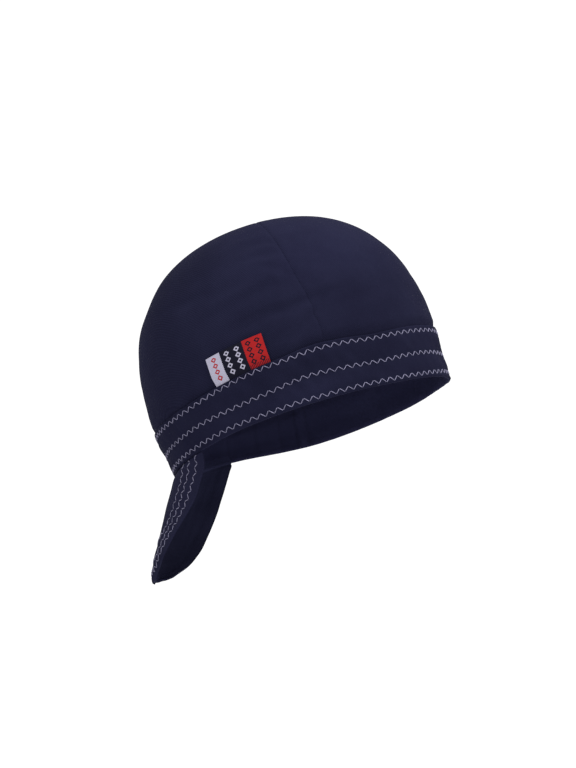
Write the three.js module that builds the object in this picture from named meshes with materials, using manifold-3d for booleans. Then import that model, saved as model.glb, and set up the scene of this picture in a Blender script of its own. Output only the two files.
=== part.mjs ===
// A welder's skull cap of heavy cloth: a deep crown sewn from a front and a back
// panel, a wide doubled band, a curved neck tail that hangs from the back of the
// band, and a small woven label that stands up from the band's top edge.
//
// Millimetres, +Z up, +X to the front, +Y to the wearer's left. The origin is the
// centre of the head opening at the rim. The cap is shaped with its rim level and
// then tipped back as it sits on a head.
import * as THREE from "three";
import Module from "manifold-3d";
import { mergeVertices } from "three/addons/utils/BufferGeometryUtils.js";

// Head opening and band
const RIM_LENGTH = 200.6; // outside of the rim, front to back
const RIM_WIDTH = 159.2; // outside of the rim, side to side
const BAND_TOP_LENGTH = 208; // outside of the band's top edge, front to back
const BAND_TOP_WIDTH = 167; // outside of the band's top edge, side to side
const BAND_HEIGHT = 36; // rim to top edge where the band is tallest
const BAND_LEAN = 1.4; // how far back the band's top edge lies
const BAND_SWELL = 0.3; // how far the band rounds out between its edges
const BAND_WALL = 2; // two layers of cloth and their stitching
const EGG = -0.02; // share by which the head shape widens to the back

// Crown
const CROWN_TOP = 145; // highest point above the rim, cap level
const SHOULDER = 35.5; // height at which the crown starts to close in
const ROUNDNESS = 2.44; // power of the crown's side profile: 2 is an ellipse
const CROWN_LEAN = 1.2; // how far back the crown's top lies
const CROWN_STEP = 0.2; // crown's side inside the band's top edge
const CROWN_EASE = 7; // height over which the crown swells above the band
const CROWN_WALL = 1.2;
const CROWN_LAP = 9; // crown cloth tucked inside the band

// Neck tail
const TAIL_SPREAD = 45.5; // degrees of the rim on each side of the root's middle
const TAIL_TURN = 3; // degrees by which the root lies to the left of the back
const TAIL_DROP = 69.3; // tip below the rim, cap level
const TAIL_REACH = 38; // tip behind the root
const TAIL_DEPTH = 33.2; // how deep the tail curls from its back to its edges
const TAIL_TWIST = 5.2; // left edge forward and right edge back
const TAIL_WALL = 2; // two layers of cloth and their stitching
const TAIL_LAP = 8; // tail cloth tucked inside the band
const TAIL_FREED = 4; // sections over which the band's curve gives way to the tail's own

// Label
const LABEL_WIDTH = 40.6;
const LABEL_HEIGHT = 19; // height that shows above the band
const LABEL_WALL = 1;
const LABEL_ANGLE = -106.25; // degrees round the head from the front, right side
const LABEL_STAND = 1.2; // how far its free edge stands off the crown

// Seating
const GAP = 0.3; // clearance between pieces that are sewn together
const WORN_TILT = 18; // degrees by which the front rides up on the head

// Fineness of the faceted solids
const COLUMNS = 72; // round the head
const CROWN_ROWS = 13;
const LAP_ROWS = 2;
const BAND_ROWS = 4;
const TAIL_COLUMNS = 24;
const LABEL_COLUMNS = 8;
const LABEL_ROWS = 3;

// Edges of the band round the head. angle: degrees from the front, minus on the
// right. top, rim: heights as shares of BAND_HEIGHT.
const BAND_LINE = [
  { angle: -180, top: 0.715, rim: -0.145 },
  { angle: -154, top: 0.735, rim: -0.085 },
  { angle: -134, top: 0.785, rim: -0.04 },
  { angle: -118, top: 0.85, rim: -0.005 },
  { angle: -103, top: 0.91, rim: 0.006 },
  { angle: -91, top: 0.94, rim: 0.006 },
  { angle: -80, top: 0.99, rim: 0 },
  { angle: -68, top: 0.965, rim: -0.01 },
  { angle: -55, top: 0.915, rim: -0.025 },
  { angle: -36, top: 0.95, rim: -0.03 },
  { angle: 0, top: 0.98, rim: -0.02 },
  { angle: 22, top: 0.97, rim: 0.015 },
  { angle: 48, top: 0.95, rim: -0.02 },
  { angle: 90, top: 0.95, rim: -0.035 },
  { angle: 130, top: 0.8, rim: 0.085 },
  { angle: 180, top: 0.715, rim: -0.145 },
];

// Line of the crown's seam in plan, from the right side over the top to the left.
// side: share of half the band's top width. forward: share of half its length.
const SEAM_LINE = [
  { side: -1.1, forward: 0.33 },
  { side: -0.95, forward: 0.262 },
  { side: -0.9, forward: 0.215 },
  { side: -0.75, forward: 0.163 },
  { side: -0.547, forward: 0.113 },
  { side: 0, forward: 0.03 },
  { side: 0.5, forward: -0.02 },
  { side: 1.1, forward: -0.07 },
];

// Soft folds and hollows of the crown. angle, spread: degrees. level, width: shares
// of CROWN_TOP. slope: rise in shares of CROWN_TOP over the spread. depth: share of
// CROWN_WALL, minus where the cloth puffs out.
const FOLDS = [
  { angle: -104, spread: 24, level: 0.53, width: 0.035, slope: 0.03, depth: 1.3 },
  { angle: -96, spread: 22, level: 0.385, width: 0.03, slope: 0.02, depth: 1.1 },
  { angle: -120, spread: 20, level: 0.64, width: 0.03, slope: -0.02, depth: 0.8 },
  { angle: -52, spread: 18, level: 0.42, width: 0.04, slope: 0.02, depth: 0.5 },
  { angle: 180, spread: 34, level: 0.77, width: 0.07, slope: 0, depth: 1.5 },
  { angle: 95, spread: 30, level: 0.48, width: 0.05, slope: -0.02, depth: 1.1 },
];

// Sections of the tail from its root to its tip. drop: share of TAIL_DROP. out:
// share of TAIL_REACH. deep: share of TAIL_DEPTH. wide: share of the width at the
// root. twist: share of TAIL_TWIST.
const TAIL_SECTIONS = [
  { drop: 0.075, out: 0, deep: 0.95, wide: 1, twist: 0 },
  { drop: 0.12, out: 0.11, deep: 0.983, wide: 1, twist: -0.03 },
  { drop: 0.21, out: 0.222, deep: 1.014, wide: 0.98, twist: -0.05 },
  { drop: 0.348, out: 0.388, deep: 1, wide: 0.951, twist: 0.2 },
  { drop: 0.468, out: 0.506, deep: 0.944, wide: 0.882, twist: 0.45 },
  { drop: 0.583, out: 0.62, deep: 0.832, wide: 0.808, twist: 0.82 },
  { drop: 0.68, out: 0.712, deep: 0.707, wide: 0.744, twist: 1.18 },
  { drop: 0.77, out: 0.795, deep: 0.602, wide: 0.663, twist: 1.44 },
  { drop: 0.83, out: 0.852, deep: 0.532, wide: 0.592, twist: 1.5 },
  { drop: 0.875, out: 0.9, deep: 0.487, wide: 0.522, twist: 1.43 },
  { drop: 0.92, out: 0.952, deep: 0.428, wide: 0.43, twist: 1.25 },
  { drop: 0.966, out: 0.996, deep: 0.308, wide: 0.26, twist: 0.95 },
  { drop: 1, out: 1.05, deep: 0.17, wide: 0.1, twist: 0.78 },
];

const radians = THREE.MathUtils.degToRad;
const mix = THREE.MathUtils.lerp;
const ease = (value) => THREE.MathUtils.smoothstep(value, 0, 1);

// A smooth reading of one column of a table at a place between its rows.
function read(table, key, place, column) {
  let row = 1;
  while (row < table.length - 1 && place > table[row][key]) row += 1;
  const slope = (index) => {
    const low = table[Math.max(index - 1, 0)];
    const high = table[Math.min(index + 1, table.length - 1)];
    return (high[column] - low[column]) / (high[key] - low[key]);
  };
  const start = table[row - 1];
  const end = table[row];
  const span = end[key] - start[key];
  const t = (place - start[key]) / span;
  const square = t * t;
  const cube = square * t;
  return (2 * cube - 3 * square + 1) * start[column]
    + (cube - 2 * square + t) * span * slope(row - 1)
    + (3 * square - 2 * cube) * end[column]
    + (cube - square) * span * slope(row);
}

const wrapped = (angle) => angle - 360 * Math.round(angle / 360);
const bandTop = (angle) => BAND_HEIGHT * read(BAND_LINE, "angle", wrapped(angle), "top");
const bandRim = (angle) => BAND_HEIGHT * read(BAND_LINE, "angle", wrapped(angle), "rim");

// A point of the head's outline with these half axes.
function headOutline(angle, halfLength, halfWidth, height, back = 0) {
  const turn = radians(angle);
  return new THREE.Vector3(
    halfLength * Math.cos(turn) - back,
    halfWidth * Math.sin(turn) * (1 + EGG * Math.cos(turn)),
    height,
  );
}

// A point of the band's outer face, or of a face inside it. climb runs from 0 at
// the rim to 1 at the top edge.
function bandPoint(angle, climb, inset) {
  const swell = BAND_SWELL * Math.sin(Math.PI * climb) - inset;
  return headOutline(
    angle,
    mix(RIM_LENGTH, BAND_TOP_LENGTH, climb) / 2 + swell,
    mix(RIM_WIDTH, BAND_TOP_WIDTH, climb) / 2 + swell,
    mix(bandRim(angle), bandTop(angle), climb),
    BAND_LEAN * climb,
  );
}

function foldDepth(angle, height) {
  let depth = 0;
  for (const fold of FOLDS) {
    const along = wrapped(angle - fold.angle) / fold.spread;
    const across = (height / CROWN_TOP - fold.level - fold.slope * along) / fold.width;
    depth += fold.depth * CROWN_WALL * Math.exp(-along * along - across * across);
  }
  return depth;
}

// A point of the crown's outer face above the band.
function crownPoint(angle, height, inset = 0) {
  const rise = THREE.MathUtils.clamp((height - SHOULDER) / (CROWN_TOP - SHOULDER), 0, 1);
  const fullness = (1 - rise ** ROUNDNESS) ** (1 / ROUNDNESS);
  const clear = ease((height - bandTop(angle)) / CROWN_EASE);
  const step = mix(BAND_WALL + GAP, CROWN_STEP, clear);
  const inward = (step + foldDepth(angle, height) * clear) * fullness + inset;
  return headOutline(
    angle,
    (BAND_TOP_LENGTH / 2) * fullness - inward,
    (BAND_TOP_WIDTH / 2) * fullness - inward,
    height,
    mix(BAND_LEAN, CROWN_LEAN, rise),
  );
}

// A closed solid of cloth: a grid of points on its outer face and the same grid
// moved inward by the wall. A wrapped grid closes on itself, and a capped one ends
// in a single point at its last row.
function clothSolid(rows, wall, isWrapped, isCapped) {
  const width = rows[0].length;
  const last = rows.length - 1;
  const across = (column) => (isWrapped ? (column + width) % width : THREE.MathUtils.clamp(column, 0, width - 1));
  const normal = (row, column) => {
    if (isCapped && row === last) return new THREE.Vector3(0, 0, 1);
    const along = rows[row][across(column + 1)].clone().sub(rows[row][across(column - 1)]);
    const up = rows[Math.min(row + 1, last)][column].clone().sub(rows[Math.max(row - 1, 0)][column]);
    return along.cross(up).normalize();
  };
  const positions = [];
  const layers = [];
  for (const inset of [0, wall]) {
    layers.push(rows.map((points, row) => points.map((point, column) => {
      if (isCapped && row === last && column > 0) return null;
      const moved = point.clone().addScaledVector(normal(row, column), -inset);
      positions.push(moved.x, moved.y, moved.z);
      return positions.length / 3 - 1;
    })));
  }
  const [outer, inner] = layers;
  for (const layer of layers) {
    if (isCapped) layer[last] = layer[last].map(() => layer[last][0]);
  }
  const triangles = [];
  const quad = (a, b, c, d) => {
    if (a !== b && b !== c) triangles.push(a, b, c);
    if (c !== d && d !== a) triangles.push(a, c, d);
  };
  const columns = isWrapped ? width : width - 1;
  for (let column = 0; column < columns; column += 1) {
    const next = across(column + 1);
    for (let row = 0; row < last; row += 1) {
      quad(outer[row][column], outer[row][next], outer[row + 1][next], outer[row + 1][column]);
      quad(inner[row][next], inner[row][column], inner[row + 1][column], inner[row + 1][next]);
    }
    quad(inner[0][column], inner[0][next], outer[0][next], outer[0][column]);
    if (!isCapped) {
      quad(outer[last][column], outer[last][next], inner[last][next], inner[last][column]);
    }
  }
  if (!isWrapped) {
    const end = width - 1;
    for (let row = 0; row < last; row += 1) {
      quad(outer[row][0], outer[row + 1][0], inner[row + 1][0], inner[row][0]);
      quad(inner[row][end], inner[row + 1][end], outer[row + 1][end], outer[row][end]);
    }
  }
  const geometry = new THREE.BufferGeometry();
  geometry.setAttribute("position", new THREE.Float32BufferAttribute(positions, 3));
  geometry.setIndex(triangles);
  return geometry;
}

const angles = Array.from({ length: COLUMNS }, (_, column) => -180 + (360 * column) / COLUMNS);
const shares = (count) => Array.from({ length: count + 1 }, (_, index) => index / count);

// The whole crown as one hollow dome, its foot tucked inside the band.
function crownDome() {
  const tucked = shares(LAP_ROWS).slice(0, -1).map((share) => angles.map((angle) => {
    const lap = CROWN_LAP / (bandTop(angle) - bandRim(angle));
    return bandPoint(angle, 1 - lap * (1 - share), BAND_WALL + GAP);
  }));
  const open = shares(CROWN_ROWS).map((share) => angles.map((angle) => {
    const climb = Math.sin((share * Math.PI) / 2) ** (2 / ROUNDNESS);
    return crownPoint(angle, mix(bandTop(angle), CROWN_TOP, climb));
  }));
  return clothSolid([...tucked, ...open], CROWN_WALL, true, true);
}

function bandRing() {
  const rows = shares(BAND_ROWS).map((climb) => angles.map((angle) => bandPoint(angle, climb, 0)));
  return clothSolid(rows, BAND_WALL, true, false);
}

// The tail: its root follows the inside of the band, and each lower section curls
// from the middle of the back forward to its two edges.
function tailFlap() {
  const across = shares(TAIL_COLUMNS).map((share) => 1 - 2 * share);
  const tailAngle = (side) => 180 - TAIL_TURN - TAIL_SPREAD * side;
  const inset = BAND_WALL + GAP;
  const tucked = shares(LAP_ROWS).slice(0, -1).map((share) => across.map((side) => {
    const angle = tailAngle(side);
    const lap = TAIL_LAP / (bandTop(angle) - bandRim(angle));
    return bandPoint(angle, lap * (1 - share), inset);
  }));
  const rootBack = bandPoint(180, 0, inset);
  const rootEdge = bandPoint(180 - TAIL_SPREAD, 0, inset);
  const rootDepth = rootEdge.x - rootBack.x;
  const first = TAIL_SECTIONS[0];
  const hanging = TAIL_SECTIONS.map((section, index) => across.map((side) => {
    const root = bandPoint(tailAngle(side), 0, inset);
    const free = ease(index / TAIL_FREED);
    const curl = mix((root.x - rootBack.x) / rootDepth, side * side, free);
    const spread = mix(root.y / rootEdge.y, side, free);
    const depth = index === 0 ? rootDepth : TAIL_DEPTH * section.deep;
    return new THREE.Vector3(
      rootBack.x - TAIL_REACH * section.out + depth * curl + TAIL_TWIST * section.twist * side,
      rootEdge.y * section.wide * spread,
      mix(root.z, -TAIL_DROP, (section.drop - first.drop) / (1 - first.drop)),
    );
  }));
  return clothSolid([...tucked, ...hanging].reverse(), TAIL_WALL, false, false);
}

// The label follows the crown above the band's top edge and stands off at its top.
function labelTab() {
  const middle = headOutline(LABEL_ANGLE, BAND_TOP_LENGTH / 2, BAND_TOP_WIDTH / 2, 0);
  const beside = headOutline(LABEL_ANGLE + 1, BAND_TOP_LENGTH / 2, BAND_TOP_WIDTH / 2, 0);
  const halfAngle = LABEL_WIDTH / 2 / beside.distanceTo(middle);
  const rows = shares(LABEL_ROWS).map((climb) => shares(LABEL_COLUMNS).map((share) => {
    const angle = LABEL_ANGLE + mix(-halfAngle, halfAngle, share);
    const height = bandTop(angle) + GAP + LABEL_HEIGHT * climb;
    return crownPoint(angle, height, -(GAP + LABEL_WALL + foldDepth(angle, height) + LABEL_STAND * climb));
  }));
  return clothSolid(rows, LABEL_WALL, false, false);
}

const wasm = await Module();
wasm.setup();

function toManifold(geometry) {
  const bare = geometry.clone();
  bare.deleteAttribute("normal");
  bare.deleteAttribute("uv");
  const merged = mergeVertices(bare);
  return new wasm.Manifold(new wasm.Mesh({
    numProp: 3,
    vertProperties: new Float32Array(merged.attributes.position.array),
    triVerts: new Uint32Array(merged.index.array),
  }));
}

function toGeometry(solid) {
  const mesh = solid.getMesh();
  const geometry = new THREE.BufferGeometry();
  geometry.setAttribute("position", new THREE.Float32BufferAttribute(mesh.vertProperties, 3));
  geometry.setIndex(Array.from(mesh.triVerts));
  return geometry;
}

// The block of space on one side of the crown's seam. side is 1 to the front of it
// and -1 to the back.
function seamSide(side) {
  const reach = BAND_TOP_LENGTH;
  const line = shares(COLUMNS / 2).map((share) => {
    const place = mix(SEAM_LINE[0].side, SEAM_LINE[SEAM_LINE.length - 1].side, share);
    const forward = read(SEAM_LINE, "side", place, "forward");
    return new THREE.Vector2(
      (forward * BAND_TOP_LENGTH) / 2 + (side * GAP) / 2,
      (place * BAND_TOP_WIDTH) / 2,
    );
  });
  const outline = new THREE.Shape([
    ...line,
    new THREE.Vector2(side * reach, line[line.length - 1].y),
    new THREE.Vector2(side * reach, line[0].y),
  ]);
  const block = new THREE.ExtrudeGeometry(outline, { depth: 2 * CROWN_TOP, bevelEnabled: false });
  block.translate(0, 0, -CROWN_TOP / 2);
  return toManifold(block);
}

const dome = toManifold(crownDome());
const crownPanel = (side) => toGeometry(dome.intersect(seamSide(side)));

function cloth(name, geometry, color, roughness) {
  geometry.computeVertexNormals();
  const mesh = new THREE.Mesh(geometry, new THREE.MeshStandardMaterial({ color, roughness, metalness: 0 }));
  mesh.name = name;
  return mesh;
}

const worn = new THREE.Group();
worn.rotation.y = -radians(WORN_TILT);
worn.add(
  cloth("crown_front", crownPanel(1), 0x23233a, 0.9),
  cloth("crown_back", crownPanel(-1), 0x222238, 0.9),
  cloth("band", bandRing(), 0x25253c, 0.9),
  cloth("tail", tailFlap(), 0x212137, 0.9),
  cloth("label", labelTab(), 0xaaaabe, 0.8),
);

const cap = new THREE.Group();
cap.add(worn);

export default cap;
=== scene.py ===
# A welder's cloth skull cap: navy twill crown in two panels, folded band with
# three rows of zigzag stitching, neck tail and a woven label. The shape is worked
# out in millimetres with the rim level, then tipped back and turned into metres.
import functools
import math
import bmesh
import bpy
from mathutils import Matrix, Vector, noise


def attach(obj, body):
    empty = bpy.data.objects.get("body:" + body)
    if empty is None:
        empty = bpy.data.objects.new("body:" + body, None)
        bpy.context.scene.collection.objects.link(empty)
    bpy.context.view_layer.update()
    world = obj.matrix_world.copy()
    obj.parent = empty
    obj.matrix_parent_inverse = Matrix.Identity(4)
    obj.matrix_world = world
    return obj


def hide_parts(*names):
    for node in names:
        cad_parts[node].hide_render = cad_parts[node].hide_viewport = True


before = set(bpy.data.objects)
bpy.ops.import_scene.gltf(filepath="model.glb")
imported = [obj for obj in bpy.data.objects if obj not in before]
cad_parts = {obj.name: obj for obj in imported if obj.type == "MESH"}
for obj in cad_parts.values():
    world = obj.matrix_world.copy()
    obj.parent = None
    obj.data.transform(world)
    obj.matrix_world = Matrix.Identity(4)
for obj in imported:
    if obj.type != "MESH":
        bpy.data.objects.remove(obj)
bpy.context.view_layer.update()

MM = 0.001

# Head opening and band
RIM_LENGTH = 200.6
RIM_WIDTH = 159.2
BAND_TOP_LENGTH = 208
BAND_TOP_WIDTH = 167
BAND_HEIGHT = 36
BAND_LEAN = 1.4
BAND_SWELL = 0.3
BAND_WALL = 2
BAND_CLOTH = 0.8
BAND_CUT = (0.592, 0.076)
EGG = -0.02

# Crown
CROWN_TOP = 145
SHOULDER = 35.5
ROUNDNESS = 2.44
CROWN_LEAN = 1.2
CROWN_STEP = 0.2
CROWN_EASE = 7
CROWN_WALL = 1.2
CROWN_LAP = 5

# Neck tail
TAIL_SPREAD = 45.5
TAIL_TURN = 3
TAIL_DROP = 69.3
TAIL_REACH = 38
TAIL_DEPTH = 33.2
TAIL_TWIST = 5.2
TAIL_WALL = 2
TAIL_LAP = 8
TAIL_FREED = 4
TIP_ROUNDED = 11.4
TIP_ROUNDNESS = 0.96
TIP_END = 11.93
TAIL_CUT = (0.136, 0.1)

# Label
LABEL_WIDTH = 40.6
LABEL_HEIGHT = 19
LABEL_WALL = 1
LABEL_ANGLE = -106.25
LABEL_STAND = 1.2
LABEL_TUCK = 3
LABEL_CUT = (0.0406, 0.022)

GAP = 0.3
WORN_TILT = math.radians(18)
HEAD_RADIUS = 90

# Points on the inner side of each cloth, in metres, from which its faces look away
INSIDE_CROWN = Vector((0, 0, 0.03))
INSIDE_BAND = Vector((0, 0, 0.02))
INSIDE_TAIL = Vector((-0.02, 0, -0.05))
BEHIND_LABEL = Vector((-0.03, 0, 0.04))

# Stitching
THREAD_RADIUS = 0.26
ZIGZAG_PITCH = 6
ZIGZAG_REACH = 1.35
ZIGZAG_SHARPNESS = 0.965
ZIGZAG_UNEVEN = 0.1
POINTS_PER_PITCH = 16
NEEDLE_DIP = 0.6
NEEDLE_SHARPNESS = 14
THREAD_SHOWN = 0.75
ROW_POINTS = 1440

# Wrinkles of the cloth: depth, size, and a number that sets each pattern apart
ROW_PUCKERS = (0.2, 3.1, 3)
BAND_PUFFS = (0.9, 16, 9)
BAND_WRINKLES = (0.8, 6.5, 12)
CROWN_PUCKERS = (0.35, 5, 21)
CROWN_DRIFT = (0.5, 24, 5)
CROWN_WRINKLES = (0.22, 9, 6)
LINING_WRINKLES = (0.35, 7, 31)
LINING_PUFFS = (0.2, 14, 33)

# Camera and studio
CAMERA_TURN = 0.0881
CAMERA_RISE = -0.1807
CAMERA_DISTANCE = 1.155
CAMERA_TARGET_SIDE = -0.01625
CAMERA_TARGET_HEIGHT = 0.02885
CAMERA_LENS = 78.4
FLOOR_LEVEL = -0.36
FLOOR_HALF = 6
FLOOR_TONE = (0.75, 0.75, 0.75, 1)
FLOOR_GLOW = {"From Min": 0.9, "From Max": 2.6, "To Min": 0, "To Max": 0.45}
ROOM_LIGHT = 0.98
BACKDROP_LIGHT = 1.1
TOP_LIGHT_PLACE = (0.55, -0.6, 1.45)
TOP_LIGHT_AIM = (0, 0, 0.05)
TOP_LIGHT_SIZE = 1.1
TOP_LIGHT_POWER = 33

# Edges of the band round the head: angle from the front in degrees, minus on the
# right, then top and rim as shares of the band's height.
BAND_LINE = [
    (-180, 0.715, -0.145), (-154, 0.735, -0.085), (-134, 0.785, -0.04),
    (-118, 0.85, -0.005), (-103, 0.91, 0.006), (-91, 0.94, 0.006),
    (-80, 0.99, 0), (-68, 0.965, -0.01), (-55, 0.915, -0.025),
    (-36, 0.95, -0.03), (0, 0.98, -0.02), (22, 0.97, 0.015),
    (48, 0.95, -0.02), (90, 0.95, -0.035), (130, 0.8, 0.085),
    (180, 0.715, -0.145),
]
TOP = 1
RIM = 2

# Rows of stitching: angle, then low, middle and top row as shares of the way from
# the rim to the band's top edge.
STITCH_LINE = [
    (-180, 0.09, 0.447, 0.905), (-155, 0.09, 0.455, 0.905), (-133, 0.11, 0.485, 0.905),
    (-117, 0.105, 0.46, 0.925), (-102, 0.085, 0.455, 0.94), (-90, 0.085, 0.49, 0.925),
    (-83, 0.07, 0.49, 0.91), (-72, 0.067, 0.462, 0.912), (-54, 0.072, 0.456, 0.914),
    (-35, 0.072, 0.473, 0.903), (0, 0.12, 0.464, 0.905), (40, 0.1, 0.455, 0.91),
    (90, 0.085, 0.45, 0.91), (180, 0.09, 0.447, 0.905),
]
ROWS = {"low": 1, "middle": 2, "top": 3}

# Seam between the crown's panels: share of half the width, then share of half the
# length that it lies forward.
SEAM_LINE = [
    (-1.1, 0.33), (-0.95, 0.262), (-0.9, 0.215), (-0.75, 0.163),
    (-0.547, 0.113), (0, 0.03), (0.5, -0.02), (1.1, -0.07),
]

# Soft folds of the crown: angle, spread, level, width, slope, depth.
FOLDS = [
    (-94, 16, 0.56, 0.03, 0.03, 1.1),
    (-84, 19, 0.445, 0.026, 0.02, 1.6),
    (-76, 9, 0.37, 0.03, 0.08, 1.3),
    (-120, 20, 0.64, 0.03, -0.02, 0.8),
    (-52, 18, 0.42, 0.04, 0.02, 0.5),
    (180, 34, 0.77, 0.07, 0, 1.5),
    (95, 30, 0.48, 0.05, -0.02, 1.1),
]

# Narrow creases of the crown, measured the same way.
CREASES = [
    (-94, 12, 0.462, 0.012, 0.012, 0.4),
    (-84, 9, 0.425, 0.014, -0.03, 0.3),
    (-88, 10, 0.36, 0.016, 0.05, -0.35),
    (-112, 12, 0.6, 0.016, 0.02, 0.25),
    (-60, 16, 0.6, 0.03, -0.04, 0.3),
    (-140, 16, 0.42, 0.02, 0.03, 0.3),
    (60, 20, 0.4, 0.02, 0.03, 0.35),
    (120, 18, 0.55, 0.02, -0.02, 0.35),
]

# Lighter and darker patches of the cloth's tone: angle, spread, level of the height, width, tone.
TONE_PATCHES = [
    (-50, 42, 0.12, 0.19, -0.24),
    (-42, 42, 0.42, 0.13, -0.12),
    (-62, 42, 0.66, 0.12, 0.12),
    (-125, 32, 0.82, 0.12, -0.15),
    (-78, 22, 0.88, 0.06, 0.12),
    (-174, 20, 0.5, 0.3, 0.22),
    (-88, 22, 0.05, 0.05, 0.2),
    (60, 60, 0.5, 0.2, -0.08),
    (130, 40, 0.7, 0.15, 0.08),
]

# Sections of the tail: number, drop, out, deep, wide, twist.
TAIL_SECTIONS = [
    (0, 0.075, 0, 0.95, 1, 0),
    (1, 0.12, 0.11, 0.983, 1, -0.03),
    (2, 0.21, 0.222, 1.014, 0.98, -0.05),
    (3, 0.348, 0.388, 1, 0.951, 0.2),
    (4, 0.468, 0.506, 0.944, 0.882, 0.45),
    (5, 0.583, 0.62, 0.832, 0.808, 0.82),
    (6, 0.68, 0.712, 0.707, 0.744, 1.18),
    (7, 0.77, 0.795, 0.602, 0.663, 1.44),
    (8, 0.83, 0.852, 0.532, 0.592, 1.5),
    (9, 0.875, 0.9, 0.487, 0.522, 1.43),
    (10, 0.92, 0.952, 0.428, 0.43, 1.25),
    (11, 0.966, 0.996, 0.308, 0.26, 0.95),
    (12, 1, 1, 0.205, 0.15, 0.8),
]
DROP, OUT, DEEP, WIDE, TWIST = 1, 2, 3, 4, 5

# Painted light and shade of the tail: share of the way from its tucked edge to its tip, then the tone
# outside and inside. The root, in the shade of the cap, and the tip are made lighter.
TAIL_PAINTED_LIGHT = [
    (0, 1.5, 2.7), (0.06, 1.5, 2.6), (0.085, 1.4, 1.9), (0.11, 1.3, 1.35), (0.2, 1.1, 1.33),
    (0.3, 1.05, 1.14), (0.5, 1, 1), (0.7, 0.97, 0.88), (0.85, 1, 1), (0.93, 1.05, 1.4),
    (1, 1.1, 1.6),
]
TONE_OUTSIDE = 1
TONE_INSIDE = 2
LAST_SECTION = 12


def mix(start, end, share):
    return start + (end - start) * share


def clamp(value, low=0, high=1):
    return min(max(value, low), high)


def ease(value):
    value = clamp(value)
    return value * value * (3 - 2 * value)


def hump(distance, width):
    return math.exp(-(distance / width) ** 2)


def wrapped(angle):
    return angle - 360 * round(angle / 360)


def read(table, place, column):
    row = 1
    while row < len(table) - 1 and place > table[row][0]:
        row += 1

    def slope(index):
        low = table[max(index - 1, 0)]
        high = table[min(index + 1, len(table) - 1)]
        return (high[column] - low[column]) / (high[0] - low[0])

    start = table[row - 1]
    end = table[row]
    span = end[0] - start[0]
    t = (place - start[0]) / span
    return ((2 * t ** 3 - 3 * t ** 2 + 1) * start[column]
            + (t ** 3 - 2 * t ** 2 + t) * span * slope(row - 1)
            + (3 * t ** 2 - 2 * t ** 3) * end[column]
            + (t ** 3 - t ** 2) * span * slope(row))


@functools.lru_cache(maxsize=None)
def band_top(angle):
    return BAND_HEIGHT * read(BAND_LINE, clamp(angle, -180, 180), TOP)


@functools.lru_cache(maxsize=None)
def band_rim(angle):
    return BAND_HEIGHT * read(BAND_LINE, clamp(angle, -180, 180), RIM)


@functools.lru_cache(maxsize=None)
def stitch_climb(angle, column):
    return read(STITCH_LINE, clamp(angle, -180, 180), column)


def worn(point):
    x = point.x * math.cos(WORN_TILT) - point.z * math.sin(WORN_TILT)
    z = point.x * math.sin(WORN_TILT) + point.z * math.cos(WORN_TILT)
    return Vector((x, point.y, z)) * MM


def on_head(point):
    x = point.x * math.cos(WORN_TILT) + point.z * math.sin(WORN_TILT)
    z = point.z * math.cos(WORN_TILT) - point.x * math.sin(WORN_TILT)
    return math.degrees(math.atan2(point.y, x)), z / MM


def head_outline(angle, half_length, half_width, height, back=0):
    turn = math.radians(angle)
    return Vector((half_length * math.cos(turn) - back,
                   half_width * math.sin(turn) * (1 + EGG * math.cos(turn)),
                   height))


def ripple(angle, height, wrinkles):
    depth, size, pattern = wrinkles
    turn = math.radians(angle)
    place = Vector((HEAD_RADIUS * math.cos(turn), HEAD_RADIUS * math.sin(turn), height))
    return depth * noise.noise(place / size + Vector((pattern, 0, 0)))


# Relief of the band's face: it dips and puckers along the stitches, puffs out
# between them and draws in at its waist.
ROW_DIP = 0.4
ROW_DIP_WIDTH = 2.4
ROW_PUCKER_WIDTH = 4.5
ROW_FLATNESS = 0.8
ROW_FLAT_WIDTH = 3
PUCKER_STRETCH = 0.35
WRINKLE_STRETCH = 0.4
WRINKLE_SLANT = 6
WAIST_DEPTH = 0.7
WAIST_WIDTH = 0.22
DEEPEST_RELIEF = -1.1


def band_tall(angle):
    return band_top(angle) - band_rim(angle)


def band_relief(angle, climb):
    up = climb * band_tall(angle)
    near = min(abs(climb - stitch_climb(angle, column)) * band_tall(angle) for column in ROWS.values())
    dip = ROW_DIP * hump(near, ROW_DIP_WIDTH)
    pucker = ripple(angle, up * PUCKER_STRETCH, ROW_PUCKERS) * hump(near, ROW_PUCKER_WIDTH)
    puff = (ripple(angle, up, BAND_PUFFS)
            + ripple(angle + climb * WRINKLE_SLANT, up * WRINKLE_STRETCH, BAND_WRINKLES))
    waist = WAIST_DEPTH * hump(climb - 0.5, WAIST_WIDTH)
    puff *= 1 - ROW_FLATNESS * hump(near, ROW_FLAT_WIDTH)
    return max(puff - waist + pucker - dip, DEEPEST_RELIEF)


def band_point(angle, climb, inset):
    swell = BAND_SWELL * math.sin(math.pi * clamp(climb)) - inset
    return head_outline(angle,
                        mix(RIM_LENGTH, BAND_TOP_LENGTH, climb) / 2 + swell,
                        mix(RIM_WIDTH, BAND_TOP_WIDTH, climb) / 2 + swell,
                        mix(band_rim(angle), band_top(angle), climb),
                        BAND_LEAN * climb)


def band_face(angle, climb, lift=0):
    angle = wrapped(angle)
    return band_point(angle, climb, -band_relief(angle, climb) - lift)


def fold_depth(angle, height, folds=FOLDS):
    depth = 0
    for place, spread, level, width, slope, deep in folds:
        along = wrapped(angle - place) / spread
        across = (height / CROWN_TOP - level - slope * along) / width
        depth += deep * CROWN_WALL * math.exp(-along * along - across * across)
    return depth


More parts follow.
